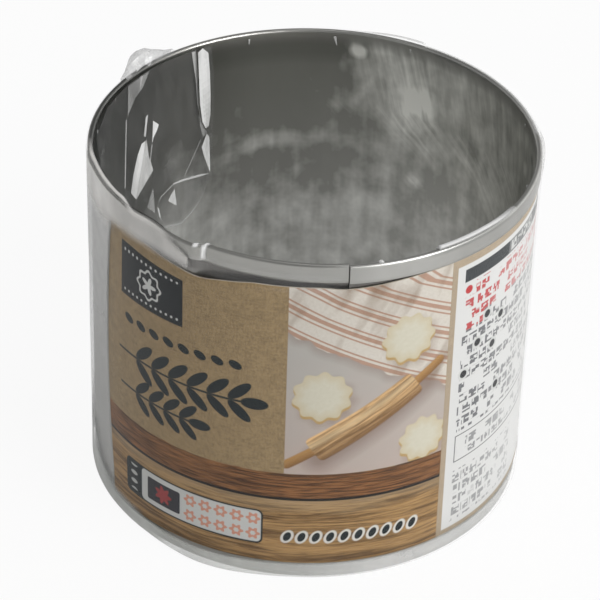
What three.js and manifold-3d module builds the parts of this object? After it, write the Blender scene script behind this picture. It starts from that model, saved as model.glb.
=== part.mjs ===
// A pastry ring in its retail wrap: a hemmed steel band, a card label round it and a clear film bag.
// Millimetres, +Z up. The origin is on the ring's axis at its lower edge.
// Angles are in degrees round the axis, from the front (-Y) towards +X.
import * as THREE from "three";
import { mergeVertices } from "three/addons/utils/BufferGeometryUtils.js";
import Module from "manifold-3d";

const wasm = await Module();
wasm.setup();

// Steel ring
const RING_DIAMETER = 60; // over the hem
const RING_HEIGHT = 50;
const SHEET_THICKNESS = 0.35;
const HEM_HEIGHT = 2.6; // from the top of the fold to the hem's free edge
const HEM_FOLD_GAP = 0.1; // air left inside the flattened fold
const SEAM_ANGLE = 9.3; // where the two ends of the strip meet
const SEAM_WIDTH = 0.2;
const SEAM_DEPTH = 0.12; // into the wall; the hem's outer leaf is parted right through

// Card label
const LABEL_THICKNESS = 0.2;
const LABEL_START_ANGLE = -58.8;
const LABEL_SPAN = 209;
const LABEL_SKEW = 1.2; // how much lower the label starts than it ends
const LABEL_FOOT_HEIGHT = 2.1; // of its lower edge, where it starts
const LABEL_HEM_GAP = 0.1; // under the hem, where it ends
const LABEL_CLEARANCE = 0.06; // radial, to the steel

// Film bag, where it is drawn over the rim
const FILM_THICKNESS = 0.1;
const FILM_CLEARANCE = 0.1; // to the steel and the label
const FILM_START_ANGLE = -151;
const COLLAR_SPAN = 122;
const COLLAR_SKIRT = 1.4; // outside, below the hem's free edge
const COLLAR_LIP = 2.4; // inside, below the rim
const FILM_FOLD_CLEARANCE = 0.3; // between the collar and the loose folds that leave it

// Flap of film pushed inside the bore
const TUCK_SPAN = 99;
const TUCK_LENGTH = 21; // from its upper edge to its deepest corner
const TUCK_HEM_WAVE = 3.5; // how much its lower edge rises between corners
const TUCK_PLEATS = 4;
const TUCK_PLEAT_DEPTH = 3.6; // how far a pleat swings in from the wall at the lower edge

// Fold of film standing off the rim
const EAR_ANGLE = -130;
const EAR_SPAN = 20;
const EAR_REACH = 1.9; // beyond the collar
const EAR_CREASES = 3;
const EAR_CREASE_SHARE = 0.16; // of the reach
const EAR_LOW_TURN = -35; // turn about the fold's centre where the ear leaves the wall
const EAR_HIGH_TURN = 105; // and where it comes back over the rim

// Facets
const ROUND_STEPS = 96;
const FOLD_STEPS = 6;
const LABEL_STEPS = 56;
const COLLAR_STEPS = 40;
const TUCK_STEPS = 64;
const TUCK_ROWS = 8;
const EAR_STEPS = 18;
const EAR_ROWS = 8;

// Radii and heights that the pieces share
const hemRadius = RING_DIAMETER / 2;
const wallRadius = hemRadius - SHEET_THICKNESS - HEM_FOLD_GAP;
const boreRadius = wallRadius - SHEET_THICKNESS;
const hemFoldHeight = RING_HEIGHT - (hemRadius - boreRadius) / 2;
const hemEdgeHeight = RING_HEIGHT - HEM_HEIGHT;
const labelMidRadius = wallRadius + LABEL_CLEARANCE + LABEL_THICKNESS / 2;
const labelRadius = labelMidRadius + LABEL_THICKNESS / 2;
const collarRadius = Math.max(hemRadius, labelRadius) + FILM_CLEARANCE + FILM_THICKNESS / 2;
const lipRadius = boreRadius - FILM_CLEARANCE - FILM_THICKNESS / 2;
const lipEdgeHeight = RING_HEIGHT - COLLAR_LIP;
const collarFoldRadius = (collarRadius - lipRadius) / 2;
const collarFoldCentre = (collarRadius + lipRadius) / 2;

const steel = { color: 0xa3a49f, roughness: 0.36, metalness: 1 };
const card = { color: 0x8f7a5c, roughness: 0.7, metalness: 0 };
const film = { color: 0xe6e8ea, roughness: 0.12, metalness: 0, transparent: true, opacity: 0.3 };

// Point at an angle round the axis, a radius and a height.
function roundPoint(angle, radius, height) {
  const turn = THREE.MathUtils.degToRad(angle);
  return new THREE.Vector3(radius * Math.sin(turn), -radius * Math.cos(turn), height);
}

// Line of a sheet that rises at one radius, folds over and comes down at another.
function foldedLine({ riseRadius, footHeight, fallRadius, endHeight, foldHeight }) {
  const centre = (riseRadius + fallRadius) / 2;
  const reach = (riseRadius - fallRadius) / 2;
  const line = [new THREE.Vector2(riseRadius, footHeight)];
  for (let step = 0; step <= FOLD_STEPS; step++) {
    const turn = (Math.PI * step) / FOLD_STEPS;
    const rise = Math.abs(reach) * Math.sin(turn);
    line.push(new THREE.Vector2(centre + reach * Math.cos(turn), foldHeight + rise));
  }
  line.push(new THREE.Vector2(fallRadius, endHeight));
  return line;
}

// Outline turned round the ring's axis.
function turned(outline) {
  return new THREE.LatheGeometry(outline, ROUND_STEPS).rotateX(Math.PI / 2);
}

// Sheet with a thickness, from rows of points on its middle surface.
function thickSheet(rows, thickness) {
  const last = { row: rows.length - 1, column: rows[0].length - 1 };
  const at = (row, column) =>
    rows[THREE.MathUtils.clamp(row, 0, last.row)][THREE.MathUtils.clamp(column, 0, last.column)];
  const normal = (row, column) => {
    const along = at(row, column + 1).clone().sub(at(row, column - 1));
    const down = at(row + 1, column).clone().sub(at(row - 1, column));
    return along.cross(down).normalize();
  };
  const vertices = [];
  const faces = [];
  for (const side of [1, -1]) {
    rows.forEach((points, row) =>
      points.forEach((point, column) => {
        const moved = point.clone().addScaledVector(normal(row, column), (side * thickness) / 2);
        vertices.push(moved.x, moved.y, moved.z);
      }),
    );
  }
  const width = last.column + 1;
  const other = rows.length * width;
  const quad = (a, b, c, d) => faces.push(a, b, c, a, c, d);
  for (let row = 0; row < last.row; row++) {
    for (let column = 0; column < last.column; column++) {
      const corner = row * width + column;
      quad(corner, corner + 1, corner + width + 1, corner + width);
      quad(other + corner, other + corner + width, other + corner + width + 1, other + corner + 1);
    }
    const left = row * width;
    const right = left + last.column;
    quad(left, left + width, other + left + width, other + left);
    quad(right, other + right, other + right + width, right + width);
  }
  for (let column = 0; column < last.column; column++) {
    const low = last.row * width + column;
    quad(column, other + column, other + column + 1, column + 1);
    quad(low, low + 1, other + low + 1, other + low);
  }
  const sheet = new THREE.BufferGeometry();
  sheet.setAttribute("position", new THREE.Float32BufferAttribute(vertices, 3));
  sheet.setIndex(faces);
  return sheet;
}

// Closed geometry as a solid that can be cut.
function solid(geometry) {
  const bare = geometry.clone();
  bare.deleteAttribute("normal");
  bare.deleteAttribute("uv");
  const merged = mergeVertices(bare);
  const vertProperties = new Float32Array(merged.attributes.position.array);
  const triVerts = new Uint32Array(merged.index.array);
  return new wasm.Manifold(new wasm.Mesh({ numProp: 3, vertProperties, triVerts }));
}

// Geometry of a solid.
function surface(body) {
  const { numProp, vertProperties, triVerts } = body.getMesh();
  const geometry = new THREE.BufferGeometry();
  const vertices = new THREE.InterleavedBuffer(vertProperties, numProp);
  geometry.setAttribute("position", new THREE.InterleavedBufferAttribute(vertices, 3, 0));
  geometry.setIndex(new THREE.BufferAttribute(triVerts, 1));
  return geometry;
}

// Band of sheet steel with its upper edge folded out and down, and a seam where its ends meet.
function ringBand() {
  const outer = foldedLine({
    riseRadius: boreRadius,
    footHeight: 0,
    fallRadius: hemRadius,
    endHeight: hemEdgeHeight,
    foldHeight: hemFoldHeight,
  });
  const inner = foldedLine({
    riseRadius: wallRadius,
    footHeight: 0,
    fallRadius: hemRadius - SHEET_THICKNESS,
    endHeight: hemEdgeHeight,
    foldHeight: hemFoldHeight,
  });
  const outline = [...inner, ...outer.reverse()];
  outline.push(outline[0].clone());
  const band = turned(outline);
  const depth = hemRadius - wallRadius + 2 * SEAM_DEPTH;
  const seam = new THREE.BoxGeometry(SEAM_WIDTH, depth, 2 * RING_HEIGHT);
  seam.translate(0, SEAM_DEPTH - wallRadius - depth / 2, 0);
  seam.rotateZ(THREE.MathUtils.degToRad(SEAM_ANGLE));
  return surface(solid(band).subtract(solid(seam)));
}

// Strip of card bent round the wall, slightly skewed.
function labelWrap() {
  const topAtEnd = hemEdgeHeight - LABEL_HEM_GAP;
  const footAtEnd = LABEL_FOOT_HEIGHT + LABEL_SKEW;
  const rows = [topAtEnd, footAtEnd].map((heightAtEnd) => {
    const points = [];
    for (let step = 0; step <= LABEL_STEPS; step++) {
      const along = step / LABEL_STEPS;
      const height = heightAtEnd - LABEL_SKEW * (1 - along);
      points.push(roundPoint(LABEL_START_ANGLE + LABEL_SPAN * along, labelMidRadius, height));
    }
    return points;
  });
  return thickSheet(rows, LABEL_THICKNESS);
}

// Film drawn over the rim: a skirt outside the hem, the fold and a lip inside.
function filmCollar() {
  const line = foldedLine({
    riseRadius: collarRadius,
    footHeight: hemEdgeHeight - COLLAR_SKIRT,
    fallRadius: lipRadius,
    endHeight: lipEdgeHeight,
    foldHeight: hemFoldHeight,
  });
  const rows = line.map(({ x: radius, y: height }) => {
    const points = [];
    for (let step = 0; step <= COLLAR_STEPS; step++) {
      const angle = FILM_START_ANGLE + (COLLAR_SPAN * step) / COLLAR_STEPS;
      points.push(roundPoint(angle, radius, height));
    }
    return points;
  });
  return thickSheet(rows.reverse(), FILM_THICKNESS);
}

// Loose flap below the lip, which swings in from the wall in pleats as it hangs.
function filmTuck() {
  const upperEdge = lipEdgeHeight - FILM_FOLD_CLEARANCE;
  const rows = [];
  for (let row = 0; row <= TUCK_ROWS; row++) {
    const down = row / TUCK_ROWS;
    const points = [];
    for (let step = 0; step <= TUCK_STEPS; step++) {
      const along = step / TUCK_STEPS;
      const pleat = (1 + Math.cos(2 * Math.PI * TUCK_PLEATS * along)) / 2;
      const radius = lipRadius - TUCK_PLEAT_DEPTH * pleat * Math.sqrt(down);
      const length = TUCK_LENGTH - TUCK_HEM_WAVE * (1 - pleat);
      points.push(roundPoint(FILM_START_ANGLE + TUCK_SPAN * along, radius, upperEdge - length * down));
    }
    rows.push(points);
  }
  return thickSheet(rows, FILM_THICKNESS);
}

// Fold of film that stands off the rim like an ear, creased across.
function filmEar() {
  const base = collarFoldRadius + FILM_THICKNESS + FILM_FOLD_CLEARANCE;
  const rows = [];
  for (let row = 0; row <= EAR_ROWS; row++) {
    const over = row / EAR_ROWS;
    const turn = THREE.MathUtils.degToRad(THREE.MathUtils.lerp(EAR_HIGH_TURN, EAR_LOW_TURN, over));
    const points = [];
    for (let step = 0; step <= EAR_STEPS; step++) {
      const along = step / EAR_STEPS;
      const crease = 1 - EAR_CREASE_SHARE * (1 - Math.cos(2 * Math.PI * EAR_CREASES * along));
      const swell = Math.sin(Math.PI * along) * Math.sin(Math.PI * over) * crease;
      const reach = base + EAR_REACH * swell;
      const radius = collarFoldCentre + reach * Math.cos(turn);
      const height = hemFoldHeight + reach * Math.sin(turn);
      points.push(roundPoint(EAR_ANGLE + EAR_SPAN * (along - 0.5), radius, height));
    }
    rows.push(points);
  }
  return thickSheet(rows, FILM_THICKNESS);
}

// Named piece with its own material.
function piece(name, geometry, look) {
  geometry.computeVertexNormals();
  const mesh = new THREE.Mesh(geometry, new THREE.MeshStandardMaterial(look));
  mesh.name = name;
  return mesh;
}

const pastryRing = new THREE.Group();
pastryRing.name = "pastry_ring";
pastryRing.add(
  piece("ring_band", ringBand(), steel),
  piece("label_wrap", labelWrap(), card),
  piece("film_collar", filmCollar(), film),
  piece("film_tuck", filmTuck(), film),
  piece("film_ear", filmEar(), film),
);

export default pastryRing;
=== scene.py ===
"""Looks of a pastry ring in its retail wrap: rolled steel, a printed card label and clear film."""

import math

import bmesh
import bpy
from mathutils import Color, Matrix, Vector, geometry, noise


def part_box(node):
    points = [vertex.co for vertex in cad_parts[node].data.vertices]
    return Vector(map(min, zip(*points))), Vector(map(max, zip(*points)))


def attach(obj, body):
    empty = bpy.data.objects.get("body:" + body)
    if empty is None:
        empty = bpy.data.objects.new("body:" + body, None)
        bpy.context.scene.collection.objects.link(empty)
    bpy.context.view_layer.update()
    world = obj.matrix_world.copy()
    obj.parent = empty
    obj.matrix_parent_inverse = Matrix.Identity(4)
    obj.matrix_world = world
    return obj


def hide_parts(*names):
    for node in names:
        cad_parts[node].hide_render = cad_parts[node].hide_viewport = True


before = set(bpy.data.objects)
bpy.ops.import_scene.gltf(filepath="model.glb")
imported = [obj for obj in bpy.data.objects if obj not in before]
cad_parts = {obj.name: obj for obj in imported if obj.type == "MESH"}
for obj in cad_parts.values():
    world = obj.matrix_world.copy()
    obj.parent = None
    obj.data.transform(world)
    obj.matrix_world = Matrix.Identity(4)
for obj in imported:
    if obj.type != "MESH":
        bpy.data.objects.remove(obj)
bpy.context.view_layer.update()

bl_info = {
    "name": "Pastry Ring",
    "version": (1, 0, 0),
    "blender": (4, 5, 0),
    "location": "View3D > Sidebar > Pastry Ring",
    "description": "Builds the steel, the printed card and the clear film of a wrapped pastry ring",
    "category": "Add Mesh",
}

MM = 0.001
BODY = "root"
FLAT_MAP = "flat"
CUT_EDGE = "cut_edge"
HAZE = "haze"
BORE = "bore"
HEM = "hem"

ring_low, ring_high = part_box("ring_band")
label_low, label_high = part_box("label_wrap")
HEM_RADIUS = (ring_high.x - ring_low.x) / 2
RING_HEIGHT = ring_high.z


def linear(red, green, blue):
    """Scene-linear colour of display channels from 0 to 255."""
    return tuple(Color((red / 255, green / 255, blue / 255)).from_srgb_to_scene_linear())


def length(name, description, millimetres):
    """Property for a size."""
    return bpy.props.FloatProperty(
        name=name, description=description, default=millimetres * MM, unit="LENGTH", precision=5
    )


def turn(name, description, degrees):
    """Property for an angle round the ring's axis, from the front towards +X, or of the camera."""
    return bpy.props.FloatProperty(
        name=name, description=description, default=math.radians(degrees), subtype="ANGLE"
    )


def share(name, description, default):
    """Property for a value from 0 to 1."""
    return bpy.props.FloatProperty(
        name=name, description=description, default=default, min=0, max=1, subtype="FACTOR"
    )


def colour(name, description, red, green, blue):
    """Property for a colour, given in display channels from 0 to 255."""
    return bpy.props.FloatVectorProperty(
        name=name, description=description, default=linear(red, green, blue), subtype="COLOR", min=0, max=1
    )


class SteelSettings(bpy.types.PropertyGroup):
    """Rolled steel strip with a folded hem."""

    sheet: length("Sheet", "Thickness of the steel", 0.35)
    hem: length("Hem", "Height of the folded upper edge", 2.6)
    fold_gap: length("Fold gap", "Air left inside the flattened fold", 0.1)
    seam: turn("Seam", "Where the two ends of the strip meet", 9.3)
    seam_width: length("Seam width", "Gap between the ends of the strip", 0.1)
    weld: length("Weld", "Depth of the weld that joins the ends from inside", 0.23)
    edge: length("Edge", "Rounding of the cut edges", 0.05)
    metal: colour("Metal", "Colour of the bare steel", 194, 193, 189)
    dull: colour("Dull metal", "Colour of the steel's duller streaks", 177, 177, 173)
    # Shaded and bright metal are painted shade and painted glare inside the ring.
    shade: colour("Shaded metal", "Colour of the steel high up inside the ring", 128, 129, 124)
    bright: colour("Bright metal", "Colour of the cloudy glare inside the ring", 255, 255, 251)
    dent: length("Dent", "How far the rim is pushed in at the front left", 0.9)
    dent_place: turn("Dent place", "Where the rim is pushed in", -26.5)
    dent_reach: turn("Dent reach", "How far to the left the dent fades out", 4)
    flat_place: turn("Flat place", "Where the rim is flattened further left", -45)
    flat_reach: turn("Flat reach", "Half width of the flattened part", 7.5)
    seam_step: share("Seam step", "How much of the dent is left at the seam", 0.4)
    hem_loss: length("Hem loss", "How much narrower the hem is left of the dent", 0.5)
    roughness: share("Roughness", "Mean roughness of the rolled finish", 0.34)


class LabelSettings(bpy.types.PropertyGroup):
    """Printed card wrapped round the wall."""

    card: length("Card", "Thickness of the card", 0.2)
    clearance: length("Clearance", "Air between the card and the steel", 0.06)
    start: turn("Start", "Where the label's left edge lies", -58.8)
    span: turn("Span", "How far round the label goes", 209)
    skew: length("Skew", "How much lower the label starts than it ends", 1.2)
    lift: length("Lift", "How far the free left edge stands off the steel", 0.05)
    margin: length("Margin", "How far the card goes on left of the print, halfway up", 1.95)
    bow: length("Bow", "How much of that is missing at the corners", 1.45)
    kraft: colour("Kraft", "Brown paper ground", 145, 124, 91)
    ink: colour("Ink", "Dark ink of the ornaments", 24, 33, 36)
    badge: colour("Badge", "Charcoal field", 27, 31, 34)
    paper: colour("Paper", "White panels", 197, 198, 195)
    dark_wood: colour("Dark wood", "Upper plank", 100, 67, 38)
    light_wood: colour("Light wood", "Lower plank", 138, 109, 70)
    table: colour("Table", "Pale ground of the picture", 172, 168, 162)
    rose: colour("Rose", "Rosy cloth of the picture", 186, 160, 148)
    biscuit: colour("Biscuit", "Cream of the biscuits", 193, 188, 168)
    red: colour("Red", "Red marks of the white panel", 178, 52, 54)


class FilmSettings(bpy.types.PropertyGroup):
    """Clear film drawn over the rim and pushed inside."""

    film: length("Film", "Thickness of the film", 0.04)
    clearance: length("Clearance", "Air between the film and the hem", 0.1)
    lip: length("Lip", "How far the film reaches down inside the rim", 0.8)
    veil_lip: length("Veil lip", "How far the slack film reaches down inside the rim", 2.6)
    pinches: bpy.props.IntProperty(name="Pinches", description="Small folds along the rim", default=13, min=1)
    seed: bpy.props.IntProperty(name="Seed", description="Where the small folds lie", default=364)
    tint: colour("Tint", "Colour of the film's haze", 240, 240, 239)


class StageSettings(bpy.types.PropertyGroup):
    """Floor, light and camera."""

    elevation: turn("Elevation", "Camera's height above the horizon", 34.82)
    pan: turn("Pan", "Camera's turn round the ring", 0.17)
    roll: turn("Roll", "Camera's turn about its line of sight", 1.86)
    distance: length("Distance", "From the camera to the ring's foot", 420.75)
    aside: length("Aside", "How far right of the picture's middle the ring's foot lies", 0.675)
    below: length("Below", "How far below the picture's middle the ring's foot lies", 19.92)
    lens: length("Lens", "Focal length on the 36 mm sensor", 178.35)
    floor: length("Floor", "Side of the floor", 1600)


class PastryRingSettings(bpy.types.PropertyGroup):
    """All settings of the wrapped pastry ring."""

    steel: bpy.props.PointerProperty(type=SteelSettings)
    label: bpy.props.PointerProperty(type=LabelSettings)
    film: bpy.props.PointerProperty(type=FilmSettings)
    stage: bpy.props.PointerProperty(type=StageSettings)


class Value:
    """Output of a node. An operator on it adds a Math node to its tree."""

    def __init__(self, graph, socket):
        self.graph = graph
        self.socket = socket

    def __add__(self, other):
        return self.graph.math("ADD", self, other)

    def __sub__(self, other):
        return self.graph.math("SUBTRACT", self, other)

    def __rsub__(self, other):
        return self.graph.math("SUBTRACT", other, self)

    def __mul__(self, other):
        return self.graph.math("MULTIPLY", self, other)

    def __truediv__(self, other):
        return self.graph.math("DIVIDE", self, other)

    def __neg__(self):
        return self.graph.math("MULTIPLY", self, -1.0)

    def __abs__(self):
        return self.graph.math("ABSOLUTE", self)

    __radd__ = __add__
    __rmul__ = __mul__


class Graph:
    """Node tree under construction."""

    def __init__(self, tree):
        self.tree = tree

    def node(self, kind, settings=None, sockets=None, output=0):
        """Adds a node, with its settings first and then its sockets' values or links."""
        made = self.tree.nodes.new(kind)
        for key, value in (settings or {}).items():
            setattr(made, key, value)
        for key, value in (sockets or {}).items():
            if isinstance(value, Value):
                self.tree.links.new(value.socket, made.inputs[key])
            else:
                made.inputs[key].default_value = value
        return Value(self, made.outputs[output]) if len(made.outputs) else None

    def math(self, operation, *values):
        return self.node("ShaderNodeMath", {"operation": operation}, dict(enumerate(values)))

    def least(self, a, b):
        return self.math("MINIMUM", a, b)

    def most(self, a, b):
        return self.math("MAXIMUM", a, b)

    def parts(self, vector):
        """The three numbers of a vector."""
        split = self.node("ShaderNodeSeparateXYZ", sockets={0: vector})
        return [Value(self, socket) for socket in split.socket.node.outputs]

    def vector(self, x, y, z=0.0):
        return self.node("ShaderNodeCombineXYZ", sockets={0: x, 1: y, 2: z})


class Finish(Graph):
    """Material under construction."""

    def __init__(self, name):
        self.material = bpy.data.materials.new(name)
        self.material.use_nodes = True
        super().__init__(self.material.node_tree)
        self.tree.nodes.clear()

    def ramp(self, value, low, high, start=0.0, end=1.0):
        """Runs from start to end as the value goes from low to high."""
        return self.node("ShaderNodeMapRange", sockets={0: value, 1: low, 2: high, 3: start, 4: end})

    def mix(self, a, b, amount):
        """Colour a, going over to b."""
        ends = [(*end, 1) if isinstance(end, tuple) else end for end in (a, b)]
        return self.node(
            "ShaderNodeMix", {"data_type": "RGBA"}, {0: amount, 6: ends[0], 7: ends[1]}, output=2
        )

    def grain(self, vector, scale, detail=2.0, roughness=0.5):
        """Noise from 0 to 1."""
        return self.node(
            "ShaderNodeTexNoise",
            sockets={"Vector": vector, "Scale": scale, "Detail": detail, "Roughness": roughness},
        )

    def band(self, value, start, full, ebb, end):
        """1 from full to ebb, and down to 0 at start and end."""
        return self.ramp(value, start, full) * self.ramp(value, end, ebb)

    def place(self):
        """Position on the piece."""
        return self.node("ShaderNodeTexCoord", output="Object")

    def attribute(self, name):
        return self.node("ShaderNodeAttribute", {"attribute_name": name}, output="Fac")

    def chance(self, vector):
        """Random number from 0 to 1, one for each whole vector."""
        return self.node("ShaderNodeTexWhiteNoise", {"noise_dimensions": "3D"}, {"Vector": vector})

    def bump(self, height, strength, distance):
        return self.node(
            "ShaderNodeBump", sockets={"Height": height, "Strength": strength, "Distance": distance}
        )

    def close(self, shader):
        """Ends the tree in its output and gives the material."""
        self.node("ShaderNodeOutputMaterial", sockets={"Surface": shader})
        return self.material

    def principled(self, **sockets):
        named = {key.replace("_", " ").title().replace("Ior", "IOR"): value for key, value in sockets.items()}
        return self.node("ShaderNodeBsdfPrincipled", sockets=named)


def settings():
    """The scene's pastry ring settings."""
    return bpy.context.scene.pastry_ring


def linked(name, mesh):
    """New object in the scene."""
    piece = bpy.data.objects.new(name, mesh)
    bpy.context.scene.collection.objects.link(piece)
    return piece


def finished(piece, slot, *nodes):
    """Sets the piece's body and hides the nodes that it stands for; slot is not used."""
    if not piece.data.polygons:
        raise RuntimeError(f"{piece.name} has no faces")
    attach(piece, BODY)
    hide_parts(*nodes)


def spaced(low, high, count):
    """Even steps from low to high, both ends included."""
    return [low + (high - low) * step / count for step in range(count + 1)]


def add_sheet(mesh, columns, rows, faces, edge, slope=0.0):
    """Adds a flat closed sheet: columns along x, rows along y, between two faces along z."""
    low, high = faces
    front = [(rows[0], high - edge), (rows[0] + edge, high)]
    front += [(row, high) for row in rows[1:-1]]
    front += [(rows[-1] - edge, high), (rows[-1], high - edge)]
    back = [(row, low + high - depth) for row, depth in reversed(front)]
    section = front + back
    flat = mesh.loops.layers.uv.verify()
    cut = mesh.faces.layers.int.get(CUT_EDGE) or mesh.faces.layers.int.new(CUT_EDGE)
    lines = [[mesh.verts.new((x, y + slope * x, z)) for y, z in section] for x in columns]
    place = {vert: (x, y) for x, line in zip(columns, lines) for vert, (y, _) in zip(line, section)}
    count = len(section)
    made = []

    def face(verts, is_cut):
        new = mesh.faces.new(verts)
        new[cut] = is_cut
        for loop in new.loops:
            x, y = place[loop.vert]
            loop[flat].uv = (x / MM, y / MM)
        made.append(new)

    for line, after in zip(lines, lines[1:]):
        for corner in range(count):
            following = (corner + 1) % count
            is_cut = abs(section[corner][1] - section[following][1]) > edge / 2
            face((line[corner], after[corner], after[following], line[following]), is_cut)
    for line in (lines[0], lines[-1]):
        for corner in range(count // 2 - 1):
            face((line[corner], line[corner + 1], line[-2 - corner], line[-1 - corner]), True)
    bmesh.ops.recalc_face_normals(mesh, faces=made)


def flat_mesh(name, fill):
    """Mesh that the given function fills with flat sheets."""
    work = bmesh.new()
    fill(work)
    mesh = bpy.data.meshes.new(name)
    work.to_mesh(mesh)
    work.free()
    mesh.uv_layers[0].name = FLAT_MAP
    return mesh


def fold_and_roll_tree():
    """Nodes that fold a flat sheet over at a height and roll it round the axis."""
    name = "Fold and roll"
    if name in bpy.data.node_groups:
        return bpy.data.node_groups[name]
    tree = bpy.data.node_groups.new(name, "GeometryNodeTree")
    tree.interface.new_socket("Sheet", in_out="INPUT", socket_type="NodeSocketGeometry")
    for size in ("Radius", "Fold height", "Fold radius", "Fold side", "Start"):
        tree.interface.new_socket(size, in_out="INPUT", socket_type="NodeSocketFloat")
    for finish in ("Face finish", "Edge finish"):
        tree.interface.new_socket(finish, in_out="INPUT", socket_type="NodeSocketMaterial")
    tree.interface.new_socket("Rolled", in_out="OUTPUT", socket_type="NodeSocketGeometry")
    graph = Graph(tree)
    given = tree.nodes.new("NodeGroupInput")
    sheet, radius, fold_height, fold_radius, side, start, face_finish, edge_finish = (
        Value(graph, socket) for socket in given.outputs[:8]
    )
    along, up, out = graph.parts(graph.node("GeometryNodeInputPosition"))
    past = (up - fold_height) / fold_radius
    bend = graph.least(graph.most(past, 0.0), math.pi)
    beyond = graph.most(past - math.pi, 0.0) * fold_radius
    cosine = graph.math("COSINE", bend)
    sine = graph.math("SINE", bend)
    reach = radius + side * fold_radius * (1 - cosine) + out * cosine
    height = graph.least(up, fold_height) + fold_radius * sine - beyond - out * side * sine
    angle = start + along / radius
    place = graph.vector(
        reach * graph.math("SINE", angle), -(reach * graph.math("COSINE", angle)), height
    )
    bent = graph.node("GeometryNodeSetPosition", sockets={"Geometry": sheet, "Position": place})
    whole = graph.node("GeometryNodeRealizeInstances", sockets={"Geometry": bent})
    faced = graph.node("GeometryNodeSetMaterial", sockets={"Geometry": whole, "Material": face_finish})
    cut = graph.node("GeometryNodeInputNamedAttribute", {"data_type": "BOOLEAN"}, {"Name": CUT_EDGE})
    edged = graph.node(
        "GeometryNodeSetMaterial", sockets={"Geometry": faced, "Selection": cut, "Material": edge_finish}
    )
    graph.node("NodeGroupOutput", sockets={0: edged})
    return tree


def applied(piece, name, sharp):
    """The piece as a plain mesh, without its modifiers, smooth up to an angle in degrees."""
    graph = bpy.context.evaluated_depsgraph_get()
    mesh = bpy.data.meshes.new_from_object(piece.evaluated_get(graph))
    piece.modifiers.clear()
    piece.data = mesh
    mesh.name = name
    mesh.shade_smooth()
    mesh.set_sharp_from_angle(angle=math.radians(sharp))
    return piece


def by_nodes(name, start_mesh, tree, **inputs):
    """Piece that a tree makes of a mesh, as a plain mesh."""
    piece = linked(name, start_mesh)
    modifier = piece.modifiers.new(tree.name, "NODES")
    modifier.node_group = tree
    for item in tree.interface.items_tree:
        key = item.name.lower().replace(" ", "_")
        if item.in_out == "INPUT" and key in inputs:
            modifier[item.identifier] = inputs[key]
    return applied(piece, name, 50)


def rolled(name, flat, **inputs):
    """Piece from a flat mesh, folded and rolled."""
    return by_nodes(name, flat, fold_and_roll_tree(), **inputs)


def bore_glare(finish, exact, bearing, height, cloud):
    """Painted glare, reflections and shade inside the ring, by degrees right of the back and height in mm."""

    def near(value, place, reach):
        return finish.ramp(abs(value - place), reach, reach * 0.3)

    def spot(at, up, size):
        across = (bearing - at) * 0.5
        above = height - up
        return finish.ramp(finish.math("SQRT", across * across + above * above), size, size * 0.3)

    # A painted fan of light rays hangs at the back right. Its right edge leans to the right on the way down.
    fan_edge = 31.0 + (49.0 - height) * 0.47 + finish.most(38.5 - height, 0.0) * 1.6
    past_edge = exact - fan_edge
    rays = finish.grain(finish.vector(past_edge * 0.5, height * 0.09, 2.0), 1.0, 2, 0.55)
    fan = finish.ramp(past_edge, 0.9, -0.9) * finish.ramp(past_edge, -25.0, -12.0)
    fan = fan * finish.ramp(height - past_edge * 0.3, 35.0, 42.0)
    glare = cloud + fan * (rays * 1.9 + 0.02 + cloud * 0.6)

    # Painted light: the wall right of the fan is paler, most of all at the rim.
    right = finish.ramp(past_edge, -0.9, 0.9)
    glare = glare + right * (near(height, 49.0, 10.0) * 0.45 + 0.32 + (rays - 0.5) * 0.8)

    # Painted spots: four bright ones, three of them broken by the rays, and a dark one of painted shade.
    glare = glare + spot(30.6, 41.0, 2.8) * (rays + 0.2)
    glare = glare + spot(11.2, 47.3, 1.6) * (rays + 0.7)
    glare = glare + spot(29.6, 28.1, 1.6) * rays
    glare = glare + spot(77.0, 42.3, 1.3) * 0.6
    glare = glare - spot(83.0, 45.6, 1.0) * 0.5

    # Painted reflections, a loop and a drooping arc, lie across the back, with painted shade under the arc.
    from_loop = (bearing - 6.0) / 8.0
    loop = near(height, 37.4 + from_loop * from_loop * 3.8, 1.5) * finish.ramp(height, 45.0, 40.0)
    droop = finish.least(bearing + 8.0, 0.0) / 20.0
    arc = near(height, 32.4 - droop * droop * 3.0, 1.7) * near(bearing, -12.0, 18.0)
    under_arc = near(height, 27.8, 5.0) * near(bearing, -2.0, 22.0)
    glare = glare + loop * (rays * 0.4 - 0.05) + arc * 0.34 - under_arc * 0.24

    # Painted light and shade: the front, the lower part and the lower left are paler, the upper and the far
    # left are darker.
    front = finish.ramp(abs(exact), 100.0, 130.0)
    lower = finish.ramp(height, 25.5, 22.0)
    low_left = finish.ramp(bearing, -20.0, -50.0) * finish.ramp(height, 27.0, 20.0)
    upper_left = finish.ramp(bearing, 12.0, -4.0) * finish.ramp(height, 33.0, 36.0)
    far_left = finish.ramp(bearing, -44.0, -62.0) * finish.ramp(height, 14.0, 26.0)
    return glare + front * 0.8 + lower * 0.14 + low_left * 0.7 - upper_left * 0.34 - far_left * 0.42


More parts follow.
